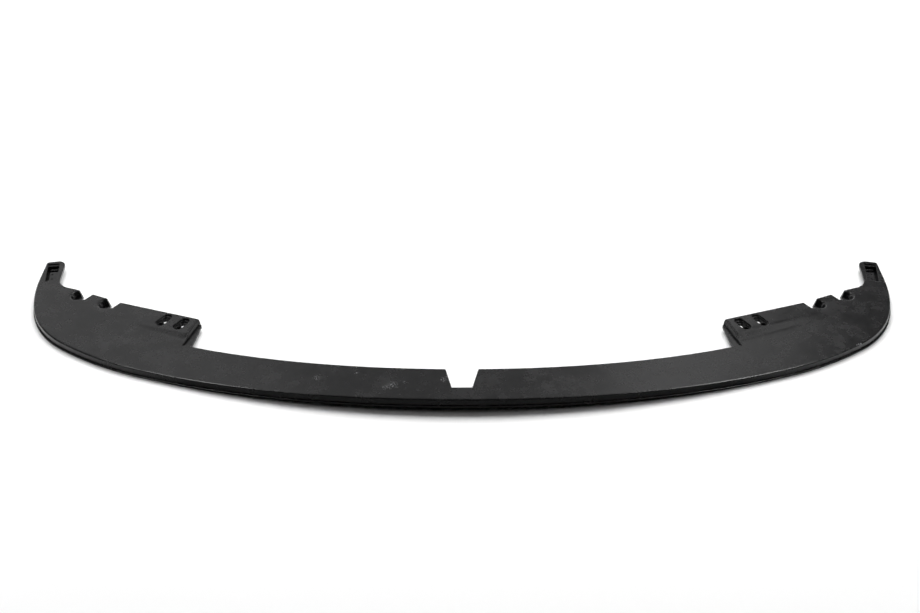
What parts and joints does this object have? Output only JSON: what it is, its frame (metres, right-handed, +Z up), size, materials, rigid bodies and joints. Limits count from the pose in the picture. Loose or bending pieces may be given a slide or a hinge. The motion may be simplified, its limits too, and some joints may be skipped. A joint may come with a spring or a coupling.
{
  "type": "front splitter lip",
  "caption": "Black moulded front splitter lip with a straight centre band, curved wings and stepped fixing pockets on raised tabs",
  "frame": {"origin": "centre of the footprint, on the plane that the rim rests on", "axes": "+X is the car's left-to-right direction as seen from the front, -Y points to the front edge, +Z is up"},
  "size_m": [1.644, 0.4359, 0.029],
  "materials": {
    "black_plastic": "satin black moulded plastic with a fine grain"
  },
  "bodies": {
    "root": {"splitter_lip": "black_plastic"}
  },
  "joints": []
}
